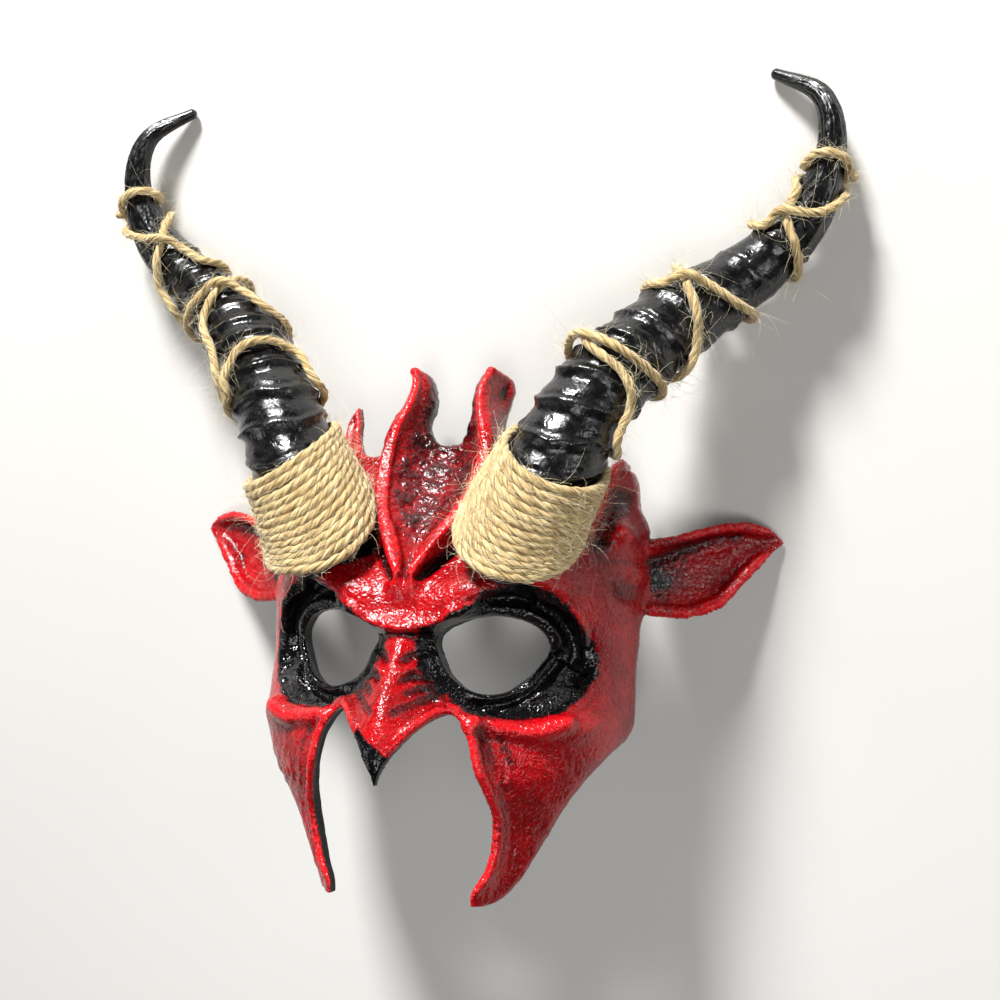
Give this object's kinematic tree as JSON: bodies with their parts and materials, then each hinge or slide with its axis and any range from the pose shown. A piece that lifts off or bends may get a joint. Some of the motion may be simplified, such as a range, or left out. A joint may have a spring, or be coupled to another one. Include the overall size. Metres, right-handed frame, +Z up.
{
  "type": "horned devil mask",
  "caption": "Hollow red devil half mask with a flame crest, goat ears, hooked nose and cheek prongs, and long ringed black horns bound with jute twine, lying on its back.",
  "frame": {"origin": "centre of the lying mask's outline, on the surface it lies on", "axes": "+Z up, out of the face; +Y from the chin towards the horn tips; +X towards the side that is on the right when one looks at the face"},
  "size_m": [0.3222, 0.3054, 0.1338],
  "materials": {
    "shell_paint": "cherry red acrylic with a satin gloss over a grainy casting, black in the eye sockets, on the nose tip and washed into the recesses",
    "horn_gloss": "black gloss over wrinkled growth rings",
    "jute": "natural jute, matt, with loose fibres"
  },
  "bodies": {
    "root": {"mask_shell": "shell_paint", "horn_right": "horn_gloss", "horn_left": "horn_gloss", "twine_binding_right": "jute", "twine_binding_left": "jute", "twine_lacing_right": "jute", "twine_lacing_left": "jute"}
  },
  "joints": []
}
